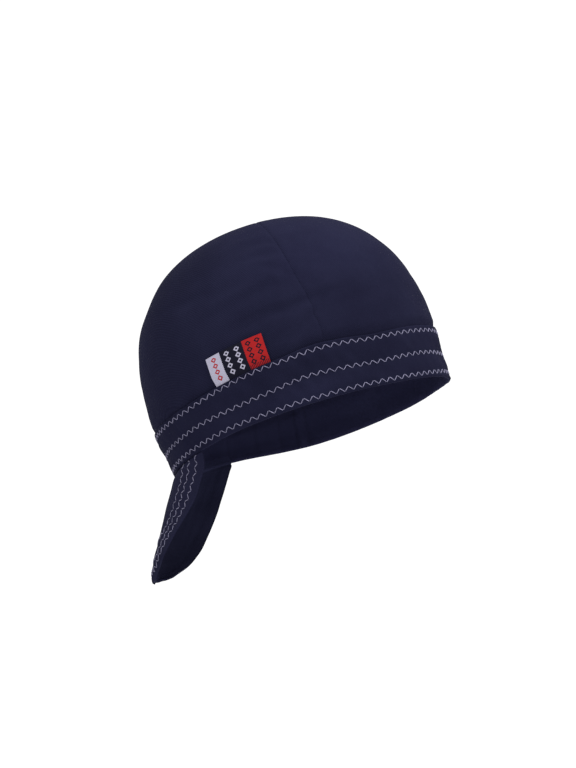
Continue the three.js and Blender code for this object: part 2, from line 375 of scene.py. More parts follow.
def crown_point(angle, height, inset=0):
    rise = clamp((height - SHOULDER) / (CROWN_TOP - SHOULDER))
    fullness = (1 - rise ** ROUNDNESS) ** (1 / ROUNDNESS)
    clear = ease((height - band_top(angle)) / CROWN_EASE)
    step = mix(BAND_WALL + GAP, CROWN_STEP, clear)
    inward = (step + fold_depth(angle, height) * clear) * fullness + inset
    return head_outline(angle,
                        BAND_TOP_LENGTH / 2 * fullness - inward,
                        BAND_TOP_WIDTH / 2 * fullness - inward,
                        height,
                        mix(BAND_LEAN, CROWN_LEAN, rise))


def seam_forward(side):
    return read(SEAM_LINE, side / (BAND_TOP_WIDTH / 2), 1) * BAND_TOP_LENGTH / 2


# Crown: a fine dome, cut in two along the seam
DOME_COLUMNS = 360
DOME_ROWS = 116
LAP_SHARE = 0.05
PUCKERS_ABOVE = 3
PUCKERS_REACH = 8
PUCKERS_STRETCH = 0.3
PUCKERS_EASE = 4
RELIEF_EASE = 12
SMOOTH_TOP = 6
WEAVE_WIDTH = 0.09
WEAVE_CENTRE = 20

# Crown seam: a furrow that deepens toward the top, the pressed allowance in front of
# it and gathers, mostly behind it.
SEAM_ALLOWANCE = 9
SEAM_PRESSED = 0.08
ALLOWANCE_EASE = 3
FURROW_DEPTH = 0.34
FURROW_DEEPER = 0.14
FURROW_FROM = 80
FURROW_CHANGE = 30
FURROW_WIDTH = 0.7
FURROW_EASE = 5
SEAM_RADIUS = 92
SEAM_CENTRE = 10
GATHER_PITCH = 9.3
GATHER_DEEP = 0.8
GATHER_FRONT_SHARE = 0.2
GATHER_HEIGHT = 106
GATHER_REACH = 20
GATHER_START = 5
GATHER_AWAY = 12
GATHER_SPREAD = 14
GATHER_BEND = 2.4
GATHER_SIZE = (14, 12)
GATHER_PATTERN = 5
GATHER_MEAN = 0.75
GATHER_UNEVEN = 0.5


def dome_place(direction):
    angle = math.degrees(math.atan2(direction.y, direction.x))
    share = math.asin(clamp(direction.z)) / (math.pi / 2)
    if share < LAP_SHARE:
        lap = CROWN_LAP / band_tall(angle)
        return band_point(angle, 1 - lap * (1 - share / LAP_SHARE), BAND_WALL + GAP)
    open_share = (share - LAP_SHARE) / (1 - LAP_SHARE)
    climb = math.sin(open_share * math.pi / 2) ** (2 / ROUNDNESS)
    height = mix(band_top(angle), CROWN_TOP, climb)
    above = height - band_top(angle)
    pucker = ripple(angle, above * PUCKERS_STRETCH, CROWN_PUCKERS)
    pucker *= hump(above - PUCKERS_ABOVE, PUCKERS_REACH)
    pucker *= ease(above / PUCKERS_EASE)
    drift = ripple(angle, height, CROWN_DRIFT) + ripple(angle, height, CROWN_WRINKLES)
    crease = fold_depth(angle, height, CREASES)
    relief = pucker + (drift - crease) * ease(above / RELIEF_EASE) * (1 - climb ** SMOOTH_TOP)
    return crown_point(angle, height, -relief)


def crown_dome():
    bm = bmesh.new()
    bmesh.ops.create_uvsphere(bm, u_segments=DOME_COLUMNS, v_segments=2 * DOME_ROWS, radius=1)
    whole = bm.verts[:] + bm.edges[:] + bm.faces[:]
    bmesh.ops.bisect_plane(bm, geom=whole, plane_co=(0, 0, 0), plane_no=(0, 0, -1), clear_outer=True)
    shift = bm.verts.layers.float.new("seam_shift")
    for vert in bm.verts:
        vert.co = dome_place(vert.co)
        angle = math.atan2(vert.co.y, vert.co.x)
        smooth = fold_depth(math.degrees(angle), vert.co.z) * math.sin(angle)
        vert[shift] = seam_forward(vert.co.y + smooth)
        vert.co.x -= vert[shift]
    return bm


def seam_gather(point, away, side):
    along = SEAM_RADIUS * math.atan2(point.y, point.z - SEAM_CENTRE)
    bend = noise.noise(Vector((along / GATHER_SIZE[0], away / GATHER_SIZE[1], side * GATHER_PATTERN)))
    pleat = math.sin(2 * math.pi * along / GATHER_PITCH + GATHER_BEND * bend)
    strength = GATHER_DEEP if side < 0 else GATHER_DEEP * GATHER_FRONT_SHARE
    where = (hump(point.z - GATHER_HEIGHT, GATHER_REACH)
             * hump(away - GATHER_AWAY, GATHER_SPREAD) * ease(away / GATHER_START))
    return strength * pleat * where * (GATHER_MEAN + GATHER_UNEVEN * bend)


def crown_outward(point):
    above = max(point.z - SHOULDER, 0)
    return Vector((point.x / BAND_TOP_LENGTH ** 2,
                   point.y / BAND_TOP_WIDTH ** 2,
                   above / (2 * (CROWN_TOP - SHOULDER)) ** 2)).normalized()


def seam_relief(point, away, side):
    furrow = FURROW_DEPTH + FURROW_DEEPER * ease((point.z - FURROW_FROM) / FURROW_CHANGE)
    turned = furrow * hump(away, FURROW_WIDTH)
    pressed = SEAM_PRESSED * ease((SEAM_ALLOWANCE - away) / ALLOWANCE_EASE) if side > 0 else 0
    return pressed - turned + seam_gather(point, away, side)


def crown_panel(name, dome, side):
    bm = dome.copy()
    whole = bm.verts[:] + bm.edges[:] + bm.faces[:]
    bmesh.ops.bisect_plane(bm, geom=whole, plane_co=(0, 0, 0), plane_no=(-side, 0, 0), clear_outer=True)
    shift = bm.verts.layers.float["seam_shift"]
    for vert in bm.verts:
        away = abs(vert.co.x)
        vert.co.x += vert[shift]
        angle = math.degrees(math.atan2(vert.co.y, vert.co.x))
        shown = ease((vert.co.z - band_top(angle)) / FURROW_EASE)
        vert.co += crown_outward(vert.co) * seam_relief(vert.co, away, side) * shown
    weave = bm.loops.layers.uv.new("weave")
    for face in bm.faces:
        for loop in face.loops:
            point = loop.vert.co
            turn = math.atan2(point.y, point.z + WEAVE_CENTRE)
            loop[weave].uv = (turn * WEAVE_WIDTH, point.x * MM)
    for vert in bm.verts:
        vert.co = worn(vert.co)
    return finished(name, bm, INSIDE_CROWN)


def patch_tone(angle, height):
    tone = 1
    for place, spread, level, width, change in TONE_PATCHES:
        along = wrapped(angle - place) / spread
        across = (height / CROWN_TOP - level) / width
        tone += change * math.exp(-along * along - across * across)
    return tone


def new_tones(piece, name="patches_and_painted_light"):
    return piece.data.attributes.new(name, "FLOAT", "POINT").data


def patches_and_painted_light(piece):
    for vert, tone in zip(piece.data.vertices, new_tones(piece)):
        tone.value = patch_tone(*on_head(vert.co))


def finished(name, bm, inside):
    bmesh.ops.recalc_face_normals(bm, faces=bm.faces)
    outward = sum(face.normal.dot(face.calc_center_median() - inside) * face.calc_area()
                  for face in bm.faces)
    if outward < 0:
        bmesh.ops.reverse_faces(bm, faces=bm.faces)
    for face in bm.faces:
        face.smooth = True
    for edge in bm.edges:
        edge.smooth = not edge.is_boundary
    mesh = bpy.data.meshes.new(name)
    bm.to_mesh(mesh)
    bm.free()
    piece = bpy.data.objects.new(name, mesh)
    bpy.context.scene.collection.objects.link(piece)
    return piece


# How far a fine-edged cloth crowds its rows toward the edges
EDGE_CROWDING = 0.42


def near_edges(share):
    side = 2 * share - 1
    return clamp(0.5 + 0.5 * side * (1 + EDGE_CROWDING - EDGE_CROWDING * side * side))


def cloth_grid(name, columns, rows, size, place, inside, fine_edges=False):
    bm = bmesh.new()
    bmesh.ops.create_grid(bm, x_segments=columns, y_segments=rows, size=0.5)
    if fine_edges:
        for vert in bm.verts:
            vert.co.x = near_edges(vert.co.x + 0.5) - 0.5
            vert.co.y = near_edges(vert.co.y + 0.5) - 0.5
    weave = bm.loops.layers.uv.new("weave")
    for face in bm.faces:
        for loop in face.loops:
            loop[weave].uv = ((loop.vert.co.x + 0.5) * size[0], (loop.vert.co.y + 0.5) * size[1])
    for vert in bm.verts:
        vert.co = worn(place(clamp(vert.co.x + 0.5), clamp(vert.co.y + 0.5)))
    bmesh.ops.remove_doubles(bm, verts=bm.verts, dist=1e-6)
    return finished(name, bm, inside)


def add_wall(piece, thickness):
    wall = piece.modifiers.new("wall", "SOLIDIFY")
    wall.thickness = thickness * MM
    wall.offset = -1
    wall.use_even_offset = True
    return wall


def cloth_shares(piece, cut):
    weave = piece.data.uv_layers["weave"].data
    for loop in piece.data.loops:
        across, down = weave[loop.index].uv
        yield loop.vertex_index, across / cut[0], down / cut[1]


# Band: one strip folded at the rim, its top edges turned in. The shares run down the
# outside, round the fold and up the lining.
BAND_COLUMNS = 480
BAND_ROWS = 76
FOLD_SHARE = 0.05
TOP_SHARE = 0.03
OUTER_SHARE = 0.47
FOLD_CLIMB = 0.02
FOLD_SQUASH = 0.9
TURNED_IN = 1.1
LINING_TOP = 0.985
# Painted light: how much lighter the lining's tone is made, for the shaded inside of the cap
LINING_PAINTED_LIGHT = 1.74
LINING_JOINT = 96.4
JOINT_WIDTH = 2.4
JOINT_HEIGHT = 0.7
LINING_EASE = 0.3
LINE_SLANT = 3
LINE_WIDTH = 1.5
LINE_SHADE = 0.22
LINING_STRETCH = 0.25
LAP_COVER = CROWN_WALL + BAND_CLOTH + 0.45
LAP_FROM = 0.3
LAP_RISE = 0.54
TOP_FLATNESS = 0.8
TOP_FROM = 0.68
TOP_RISE = 0.14
LINING_FREED = 6
# Painted light of the lining: where its raised tone starts in the fold and over what share, then the
# angle, spread and climb beside the tail's shaded root where lining and fold are made lighter still, and
# by how much
TONE_FROM = 0.35
TONE_OVER = 0.014
ROOT_ANGLE = 127
ROOT_SPREAD = 8
ROOT_CLIMB = 0.3
ROOT_PAINTED_LIGHT = 0.25


# Seam lines of the lining: angle, then depth.
LINING_LINES = [
    (93.8, 0.7), (99, 0.7), (106, 0.5), (117, 0.5), (131, 0.4), (60, 0.4),
]


def lining_line(angle, climb):
    return sum(deep * hump(wrapped(angle - line + LINE_SLANT * climb) * LINE_WIDTH, 1)
               for line, deep in LINING_LINES)


def lining_relief(angle, climb):
    up = climb * band_tall(angle)
    joint = LINING_EASE + JOINT_HEIGHT * ease(1 - abs(wrapped(angle - LINING_JOINT)) / JOINT_WIDTH)
    joint -= lining_line(angle, climb)
    wrinkle = ripple(angle, up * LINING_STRETCH, LINING_WRINKLES) + ripple(angle, up, LINING_PUFFS)
    over_lap = LAP_COVER * ease((climb - LAP_FROM) / LAP_RISE)
    flat_top = TOP_FLATNESS * ease((climb - TOP_FROM) / TOP_RISE)
    return max(joint + wrinkle, 0) * (1 - flat_top) + over_lap


def tone_band(band):
    tones = new_tones(band)
    for vertex, around, along in cloth_shares(band, BAND_CUT):
        angle = mix(-180, 180, around)
        climb = clamp((along - OUTER_SHARE - FOLD_SHARE) / (1 - OUTER_SHARE - FOLD_SHARE))
        # Painted light: the lining's tone is raised over the shaded inside of the cap, and more where
        # lining and fold face the tail's shaded root
        inner = ease((along - OUTER_SHARE - TONE_FROM * FOLD_SHARE) / TONE_OVER)
        at_root = ease((abs(angle) - ROOT_ANGLE) / ROOT_SPREAD) * (1 - ease(climb / ROOT_CLIMB))
        lined = LINING_PAINTED_LIGHT * (1 + ROOT_PAINTED_LIGHT * at_root) * (1 - LINE_SHADE * lining_line(angle, climb))
        outer = patch_tone(*on_head(band.data.vertices[vertex].co))
        tones[vertex].value = mix(outer, lined, inner)


def band_place(around, along):
    angle = mix(-180, 180, around)
    if along < TOP_SHARE:
        turn = math.pi / 2 * (1 - along / TOP_SHARE)
        tucked = TURNED_IN * math.sin(turn) - band_relief(angle, 1) * (1 - math.sin(turn))
        return band_point(angle, 1 + (math.cos(turn) - 1) * FOLD_SQUASH / band_tall(angle), tucked)
    if along < OUTER_SHARE:
        climb = mix(1, FOLD_CLIMB, (along - TOP_SHARE) / (OUTER_SHARE - TOP_SHARE))
        return band_face(angle, climb)
    if along < OUTER_SHARE + FOLD_SHARE:
        turn = math.pi * (along - OUTER_SHARE) / FOLD_SHARE
        radius = BAND_WALL / 2
        return band_point(angle, FOLD_CLIMB - radius * math.sin(turn) * FOLD_SQUASH / band_tall(angle),
                          radius * (1 - math.cos(turn)) - band_relief(angle, FOLD_CLIMB))
    inner = (along - OUTER_SHARE - FOLD_SHARE) / (1 - OUTER_SHARE - FOLD_SHARE)
    climb = mix(FOLD_CLIMB, LINING_TOP, inner)
    freed = ease((climb - FOLD_CLIMB) * LINING_FREED)
    kept = band_relief(angle, climb) * (1 - freed)
    return band_point(angle, climb, BAND_WALL - kept + lining_relief(angle, climb) * freed)


def tail_point(side, section, inset=0):
    angle = wrapped(180 - TAIL_TURN - TAIL_SPREAD * side)
    under = BAND_WALL + GAP + inset
    root = band_point(angle, 0, under)
    root_back = band_point(180, 0, under)
    root_edge = band_point(180 - TAIL_SPREAD, 0, under)
    root_depth = root_edge.x - root_back.x
    freed = ease(section / TAIL_FREED)
    curl = mix((root.x - root_back.x) / root_depth, side * side, freed)
    spread = mix(root.y / root_edge.y, side, freed)
    drop, out, deep, wide, twist = (read(TAIL_SECTIONS, section, column)
                                    for column in (DROP, OUT, DEEP, WIDE, TWIST))
    depth = mix(root_depth, TAIL_DEPTH * deep, ease(section))
    past = clamp((section - TIP_ROUNDED) / (LAST_SECTION - TIP_ROUNDED))
    rounding = math.sqrt(1 - TIP_ROUNDNESS * past ** 2)
    wide *= rounding
    deep *= rounding
    first = TAIL_SECTIONS[0][DROP]
    return Vector((root_back.x - TAIL_REACH * out + depth * curl + TAIL_TWIST * twist * side,
                   root_edge.y * wide * spread,
                   mix(root.z, -TAIL_DROP, (drop - first) / (1 - first))))


# Cloth of the tail: its lap inside the band, the stitched rows' distances from the
# edge, its relief, and how much of the full wall is left where it is pressed thin.
TAIL_COLUMNS = 96
TAIL_ROWS = 84
TAIL_LAP_SHARE = 0.08
LAP_BURIED = 0.7
TIP_STEP = 4
TAIL_ROWS_OF_STITCHES = (7.2, 15.5, 24)
TAIL_TURNS = 3.1
TAIL_PUFF = 0.5
TAIL_PUFF_SIZE = 2
TAIL_DIP = 0.25
TAIL_DIP_WIDTH = 2
TAIL_PUCKER = 0.15
TAIL_PUCKERS = 3
TAIL_ROW_WIDTH = 3
TAIL_RELIEF_EASE = 2
THIN_LAP = 0.25
THIN_EDGE = 0.55
THIN_TIP = 0.75
LAP_END = 0.8
LAP_EASE = 3
EDGE_REACH = 5
TIP_REACH = 1.5
WIDTH_STEPS = 120

# Stitched rows of the tail: points of one side, where they start and how they turn
ROW_STEPS = 300
ROW_START = -0.2
ROW_TURN = 1.2
ROW_ROOM = 1.2
ROW_BACK = 0.02
SHORTEST_RUN = 1e-4


def section_widths():
    widths = []
    for step in range(WIDTH_STEPS + 1):
        section = LAST_SECTION * step / WIDTH_STEPS
        points = [tail_point(side / 24, section) for side in range(25)]
        widths.append(sum((b - a).length for a, b in zip(points, points[1:])))
    return widths


WIDTHS = section_widths()


def half_width(section):
    place = clamp(section / LAST_SECTION) * WIDTH_STEPS
    low = min(int(place), WIDTH_STEPS - 1)
    return mix(WIDTHS[low], WIDTHS[low + 1], place - low)


def tail_relief(side, section):
    from_edge = half_width(section) * (1 - abs(side))
    from_tip = (LAST_SECTION - section) * TIP_STEP
    near = min(abs(min(from_edge, from_tip) - row) for row in TAIL_ROWS_OF_STITCHES)
    turn = side * TAIL_TURNS
    beside_row = hump(near, TAIL_ROW_WIDTH)
    puff = TAIL_PUFF * noise.noise(Vector((turn, section / TAIL_PUFF_SIZE, 4))) * (1 - beside_row)
    place = Vector((turn * TAIL_PUCKERS, section * TAIL_PUCKERS, 14))
    pucker = TAIL_PUCKER * noise.noise(place) * beside_row
    dip = TAIL_DIP * hump(near, TAIL_DIP_WIDTH)
    return (puff - dip + pucker) * ease(section / TAIL_RELIEF_EASE)


def tail_face(side, section, lift=0):
    step = 0.02
    along = tail_point(side + step, section) - tail_point(side - step, section)
    down = tail_point(side, min(section + step, LAST_SECTION)) - tail_point(side, max(section - step, 0))
    normal = along.cross(down).normalized()
    return tail_point(side, section) + normal * (tail_relief(side, section) + lift)


def tail_place(around, along):
    side = mix(1, -1, around)
    if along < TAIL_LAP_SHARE:
        angle = wrapped(180 - TAIL_TURN - TAIL_SPREAD * side)
        lap = TAIL_LAP / band_tall(angle)
        share = along / TAIL_LAP_SHARE
        return band_point(angle, lap * (1 - share), BAND_WALL + mix(-LAP_BURIED, GAP, share))
    section = TIP_END * (along - TAIL_LAP_SHARE) / (1 - TAIL_LAP_SHARE)
    return tail_face(side, section)


def tail_wall(tail):
    group = tail.vertex_groups.new(name="full_cloth")
    for vertex, around, along in cloth_shares(tail, TAIL_CUT):
        section = max(LAST_SECTION * (along - TAIL_LAP_SHARE) / (1 - TAIL_LAP_SHARE), 0)
        from_edge = half_width(section) * (1 - abs(2 * around - 1))
        full = mix(THIN_LAP * clamp(along / TAIL_LAP_SHARE), 1, ease((section - LAP_END) / LAP_EASE))
        full *= (mix(THIN_EDGE, 1, ease(from_edge / EDGE_REACH))
                 * mix(THIN_TIP, 1, ease((LAST_SECTION - section) / TIP_REACH)))
        group.add([vertex], full, "REPLACE")
    wall = add_wall(tail, TAIL_WALL)
    wall.use_even_offset = False
    wall.vertex_group = group.name
    wall.thickness_vertex_group = THIN_LAP
    wall.material_offset = 1


# Paints the tail's light and shade into its outside and inside tones
def tone_tail(tail):
    for name, column in (("patches_and_painted_light", TONE_OUTSIDE), ("painted_light_inside", TONE_INSIDE)):
        tones = new_tones(tail, name)
        for vertex, _, along in cloth_shares(tail, TAIL_CUT):
            tones[vertex].value = read(TAIL_PAINTED_LIGHT, along, column)


# Label: it stands off more toward the front, curls, and has a bent back corner
LABEL_CLOTH = 0.7
LABEL_MESH_COLUMNS = 48
LABEL_MESH_ROWS = 30
STAND_BACK = 0.6
STAND_FRONT = 1.9
LABEL_CURL = 0.25
CURL_TURN = 1.3
CURL_START = 0.4
CORNER_CURL = 0.175
CORNER_SHARE = 0.2
LABEL_SLOPE = 1.2


def label_face(share, climb):
    beside = (head_outline(LABEL_ANGLE + 1, BAND_TOP_LENGTH / 2, BAND_TOP_WIDTH / 2, 0)
              - head_outline(LABEL_ANGLE, BAND_TOP_LENGTH / 2, BAND_TOP_WIDTH / 2, 0)).length
    half = LABEL_WIDTH / 2 / beside
    angle = LABEL_ANGLE + mix(-half, half, share)
    height = band_top(angle) + GAP + LABEL_HEIGHT * climb
    curl = (LABEL_CURL * math.sin(math.pi * share * CURL_TURN + CURL_START)
            + CORNER_CURL * hump(share, CORNER_SHARE))
    stand = LABEL_STAND * mix(STAND_BACK, STAND_FRONT, share) + curl
    return crown_point(angle, height, -(GAP + LABEL_WALL + fold_depth(angle, height) + stand * climb))


def label_place(share, along):
    tuck = LABEL_TUCK / (LABEL_HEIGHT + LABEL_TUCK)
    climb = (along - tuck) / (1 - tuck)
    if climb < 0:
        inward = LABEL_SLOPE * climb / -tuck * (1 - tuck)
        return label_face(share, 0) + Vector((0, inward, LABEL_HEIGHT * climb))
    return label_face(share, climb)


def thread(name, points, radius, is_loop):
    curve = bpy.data.curves.new(name, "CURVE")
    curve.dimensions = "3D"
    curve.bevel_depth = radius * MM
    curve.bevel_resolution = 1
    line = curve.splines.new("POLY")
    line.points.add(len(points) - 1)
    for index, point in enumerate(points):
        line.points[index].co = (*worn(point), 1)
    line.use_cyclic_u = is_loop
    shaped = bpy.data.objects.new(name + "_path", curve)
    bpy.context.scene.collection.objects.link(shaped)
    mesh = bpy.data.meshes.new_from_object(shaped)
    bpy.data.objects.remove(shaped)
    for face in mesh.polygons:
        face.use_smooth = True
    mesh.name = name
    piece = bpy.data.objects.new(name, mesh)
    bpy.context.scene.collection.objects.link(piece)
    return piece


def zigzag(distance, seed):
    wave = math.sin(2 * math.pi * distance / ZIGZAG_PITCH)
    swing = math.asin(ZIGZAG_SHARPNESS * wave) / math.asin(ZIGZAG_SHARPNESS)
    number = math.floor(2 * distance / ZIGZAG_PITCH + 0.5)
    uneven = 1 + ZIGZAG_UNEVEN * noise.noise(Vector((number * 0.73, seed, 0.5)))
    lift = THREAD_RADIUS * THREAD_SHOWN - NEEDLE_DIP * abs(wave) ** NEEDLE_SHARPNESS
    return ZIGZAG_REACH * swing * uneven, lift


def band_stitches(name, column, seed):
    angles = [-180 + 360 * step / ROW_POINTS for step in range(ROW_POINTS + 1)]
    line = [band_face(angle, stitch_climb(angle, column)) for angle in angles]
    lengths = [0]
    for start, end in zip(line, line[1:]):
        lengths.append(lengths[-1] + (end - start).length)
    count = round(lengths[-1] / ZIGZAG_PITCH)
    stretch = lengths[-1] / (count * ZIGZAG_PITCH)
    points = []
    place = 0
    for index in range(count * POINTS_PER_PITCH):
        distance = index * ZIGZAG_PITCH / POINTS_PER_PITCH
        while lengths[place + 1] < distance * stretch:
            place += 1
        share = (distance * stretch - lengths[place]) / (lengths[place + 1] - lengths[place])
        angle = -180 + 360 * (place + share) / ROW_POINTS
        across, lift = zigzag(distance, seed)
        climb = stitch_climb(angle, column) + across / band_tall(angle)
        points.append(band_face(angle, climb, lift))
    return thread(name, points, THREAD_RADIUS, True)


def tail_row(inset):
    bottom = LAST_SECTION
    while half_width(bottom) < inset * ROW_ROOM or (LAST_SECTION - bottom) * TIP_STEP < inset:
        bottom -= ROW_BACK
    row = []
    for step in range(ROW_STEPS + 1):
        section = max(mix(ROW_START, bottom, step / ROW_STEPS), 0)
        side = 1 - inset / half_width(section)
        across_tip = ease((section - bottom + ROW_TURN) / ROW_TURN)
        row.append((side * math.sqrt(clamp(1 - across_tip ** 2)), section))
    return row + [(-side, section) for side, section in reversed(row[:-1])]


def tail_outward(side, section, step=0.01):
    along = tail_face(side + step, section) - tail_face(side - step, section)
    down = tail_face(side, min(section + step, LAST_SECTION)) - tail_face(side, max(section - step, 0))
    return along.cross(down)


def tail_stitches(name, inset, seed):
    row = tail_row(inset)
    line = [tail_face(*place) for place in row]
    points = []
    distance = 0
    for index in range(len(row) - 1):
        start = Vector(row[index])
        end = Vector(row[index + 1])
        run = line[index + 1] - line[index]
        if run.length < SHORTEST_RUN:
            continue
        steps = max(1, round(run.length / (ZIGZAG_PITCH / POINTS_PER_PITCH)))
        for step in range(steps):
            share = step / steps
            side, section = start.lerp(end, share)
            across, lift = zigzag(distance + run.length * share, seed)
            sideways = run.normalized().cross(tail_outward(side, section)).normalized()
            points.append(tail_face(side, section, lift) + sideways * across)
        distance += run.length
    return thread(name, points, THREAD_RADIUS, False)


# Materials: the dark and the pale end of each colour, the twill's weave and the
# label's pattern
NAVY = ((0.0078, 0.0079, 0.0207), (0.0119, 0.0123, 0.03))
TAIL_NAVY = ((0.0092, 0.0093, 0.0235), (0.014, 0.0145, 0.034))
TAIL_REVERSE_NAVY = ((0.0072, 0.0075, 0.0182), (0.0106, 0.0111, 0.0262))
THREAD_GREYS = ((0.105, 0.102, 0.16), (0.235, 0.225, 0.33))
WALE_SCALE = 480
YARN_SCALE = 672
PATCH_SHADE = 0.9
WALE_SHADE = 0.25
LINT_SHADE = 0.35
YARN_HEIGHT = 0.5
LINT_HEIGHT = 0.6
TWILL_RELIEF = 0.00015
LABEL_RELIEF = 0.0001
LABEL_BLOCKS = ((0.35, 0.34, 0.43), (0.0065, 0.0065, 0.014), (0.3, 0.0125, 0.0135))
LABEL_MARKS = ((0.3, 0.0125, 0.0135), (0.35, 0.34, 0.43), (0.0065, 0.0065, 0.014))
LABEL_BORDERS = (0.265, 0.665)
LABEL_COLUMNS = (0.135, 0.375, 0.555, 0.755, 0.905)
MARK_HALF_WIDTH = 0.0021
MARK_HALF_HEIGHT = 0.0019
MARK_PITCH = 0.0041
MARK_START = 0.0027
MARK_FOOT = 0.0047
MARK_HEAD = 0.0205
MARK_RING = 0.72
MARK_LINE = 0.28
MARK_HEIGHT = 0.8
BORDER_STEP = 0.0006
BORDER_REACH = 0.6
OVERLOCK_HEIGHT = 0.0055
OVERLOCK_PITCH = 0.00055
OVERLOCK_THREAD = 0.00022


def new_material(name):
    material = bpy.data.materials.new(name)
    material.use_nodes = True
    return material, material.node_tree, material.node_tree.nodes["Principled BSDF"]


def add_node(tree, kind, **settings):
    node = tree.nodes.new(kind)
    for key, value in settings.items():
        setattr(node, key, value)
    return node


def set_inputs(node, **values):
    for key, value in values.items():
        node.inputs[key.replace("_", " ")].default_value = value


def math_node(tree, operation, first, second=None):
    node = add_node(tree, "ShaderNodeMath", operation=operation)
    for socket, value in zip(node.inputs, (first, second)):
        if value is None:
            continue
        if isinstance(value, (int, float)):
            socket.default_value = value
        else:
            tree.links.new(value, socket)
    return node.outputs[0]


def wave(tree, place, direction, **values):
    node = add_node(tree, "ShaderNodeTexWave", bands_direction=direction)
    set_inputs(node, **values)
    tree.links.new(place, node.inputs["Vector"])
    return node.outputs["Fac"]


def cloud(tree, place, **values):
    node = add_node(tree, "ShaderNodeTexNoise")
    set_inputs(node, **values)
    tree.links.new(place, node.inputs["Vector"])
    return node.outputs["Fac"]


def two_colours(tree, share, *stops):
    ramp = add_node(tree, "ShaderNodeValToRGB")
    for element, (position, colour) in zip(ramp.color_ramp.elements, stops):
        element.position = position
        element.color = (*colour, 1)
    tree.links.new(share, ramp.inputs["Fac"])
    return ramp.outputs["Color"]


def add_bump(tree, shader, height, distance):
    bump = add_node(tree, "ShaderNodeBump")
    set_inputs(bump, Strength=0.5, Distance=distance)
    tree.links.new(height, bump.inputs["Height"])
    tree.links.new(bump.outputs["Normal"], shader.inputs["Normal"])


def navy_twill(name, deep, pale, tone="patches_and_painted_light"):
    material, tree, shader = new_material(name)
    set_inputs(shader, Roughness=0.92, Sheen_Weight=0.004, Sheen_Roughness=0.5, Specular_IOR_Level=0.02)
    shader.inputs["Sheen Tint"].default_value = (0.55, 0.56, 0.85, 1)
    place = add_node(tree, "ShaderNodeTexCoord").outputs["Object"]
    weave = add_node(tree, "ShaderNodeUVMap", uv_map="weave").outputs["UV"]
    wales = wave(tree, weave, "DIAGONAL", Scale=WALE_SCALE, Distortion=1.2, Detail=2.0, Detail_Scale=1.0)
    yarns = wave(tree, weave, "X", Scale=YARN_SCALE, Distortion=0.8, Detail=1.0, Detail_Scale=1.0)
    patches = cloud(tree, place, Scale=26.0, Detail=4.0, Roughness=0.6)
    lint = cloud(tree, place, Scale=900.0, Detail=2.0, Roughness=0.7)
    shade = math_node(tree, "ADD", math_node(tree, "MULTIPLY", patches, PATCH_SHADE),
                      math_node(tree, "MULTIPLY", wales, WALE_SHADE))
    shade = math_node(tree, "ADD", shade, math_node(tree, "MULTIPLY", lint, LINT_SHADE))
    faded = add_node(tree, "ShaderNodeVectorMath", operation="SCALE")
    tree.links.new(two_colours(tree, shade, (0.45, deep), (1, pale)), faded.inputs[0])
    # The tone attribute scales the colour: uneven patches on the crown and band, painted light and shade
    # on the band's lining and the tail
    toned = add_node(tree, "ShaderNodeAttribute", attribute_name=tone)
    tree.links.new(toned.outputs["Fac"], faded.inputs["Scale"])
    tree.links.new(faded.outputs["Vector"], shader.inputs["Base Color"])
    height = math_node(tree, "ADD", wales, math_node(tree, "MULTIPLY", yarns, YARN_HEIGHT))
    height = math_node(tree, "ADD", height, math_node(tree, "MULTIPLY", lint, LINT_HEIGHT))
    add_bump(tree, shader, height, TWILL_RELIEF)
    return material


def stitch_thread(name):
    material, tree, shader = new_material(name)
    set_inputs(shader, Roughness=0.6, Sheen_Weight=0.02, Specular_IOR_Level=0.15)
    place = add_node(tree, "ShaderNodeTexCoord").outputs["Object"]
    ply = cloud(tree, place, Scale=700.0, Detail=2.0)
    colour = two_colours(tree, ply, (0.3, THREAD_GREYS[0]), (0.7, THREAD_GREYS[1]))
    tree.links.new(colour, shader.inputs["Base Color"])
    return material


def three_blocks(tree, share, colours):
    ramp = add_node(tree, "ShaderNodeValToRGB")
    ramp.color_ramp.interpolation = "CONSTANT"
    ramp.color_ramp.elements[1].position = LABEL_BORDERS[0]
    ramp.color_ramp.elements.new(LABEL_BORDERS[1])
    for element, colour in zip(ramp.color_ramp.elements, colours):
        element.color = (*colour, 1)
    tree.links.new(share, ramp.inputs["Fac"])
    return ramp.outputs["Color"]


def diamond_marks(tree, across, up):
    near = None
    for column in LABEL_COLUMNS:
        aside = math_node(tree, "ABSOLUTE", math_node(tree, "SUBTRACT", across, column * LABEL_CUT[0]))
        near = aside if near is None else math_node(tree, "MINIMUM", near, aside)
    beside = math_node(tree, "DIVIDE", near, MARK_HALF_WIDTH)
    repeated = math_node(tree, "PINGPONG", math_node(tree, "SUBTRACT", up, MARK_START), MARK_PITCH / 2)
    along = math_node(tree, "DIVIDE", repeated, MARK_HALF_HEIGHT)
    diamond = math_node(tree, "ADD", beside, along)
    off_ring = math_node(tree, "ABSOLUTE", math_node(tree, "SUBTRACT", diamond, MARK_RING))
    ring = math_node(tree, "LESS_THAN", off_ring, MARK_LINE)
    inner = math_node(tree, "MULTIPLY", math_node(tree, "GREATER_THAN", up, MARK_FOOT),
                      math_node(tree, "LESS_THAN", up, MARK_HEAD))
    return math_node(tree, "MULTIPLY", ring, inner)


def overlock_threads(tree, across, up, share):
    threads = math_node(tree, "PINGPONG", across, OVERLOCK_PITCH)
    overlock = math_node(tree, "MULTIPLY", math_node(tree, "LESS_THAN", threads, OVERLOCK_THREAD),
                         math_node(tree, "LESS_THAN", up, OVERLOCK_HEIGHT))
    return math_node(tree, "MULTIPLY", overlock, math_node(tree, "GREATER_THAN", share, LABEL_BORDERS[1]))


